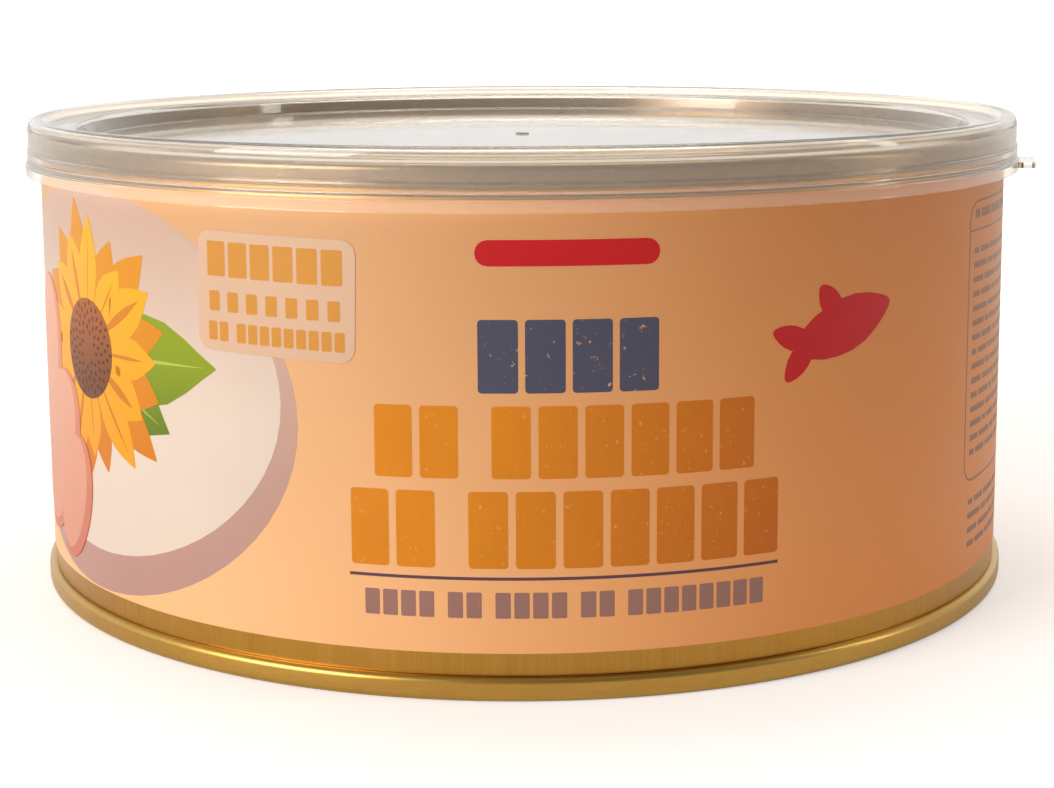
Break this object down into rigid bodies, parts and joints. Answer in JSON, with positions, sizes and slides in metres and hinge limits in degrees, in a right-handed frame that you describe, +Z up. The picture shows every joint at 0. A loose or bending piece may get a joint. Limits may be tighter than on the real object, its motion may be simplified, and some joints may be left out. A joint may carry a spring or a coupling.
{
  "type": "tuna can",
  "caption": "Large round tuna can with a printed wrap label, gold-lacquered seams, a ring-pull end and a clear plastic overcap.",
  "frame": {"origin": "centre of the foot, on the surface that the can stands on", "axes": "+Z up along the can's axis, -Y towards the front of the label, +X to the right of someone facing the front"},
  "size_m": [0.1596, 0.1582, 0.0731],
  "materials": {
    "gold_tinplate": "tinplate wall with a gold lacquer, satin, fine drawn grain",
    "gold_end": "gold lacquered tinplate, glossy on the seam, satin on the panel",
    "silver_end": "clear lacquered tinplate with a warm cast, fine rolled grain",
    "bright_steel": "bare stamped steel, bright on its curled edge",
    "label_print": "coated label, semi gloss, printed in flat fields of tan, orange, slate, cream and green",
    "clear_plastic": "clear, faintly milky moulded plastic, glossy, light scuffs on the rim"
  },
  "bodies": {
    "root": {"can_body": "gold_tinplate", "bottom_end": "gold_end", "top_end": "silver_end", "ring_pull": "bright_steel", "label": "label_print", "overcap": "clear_plastic"}
  },
  "joints": []
}
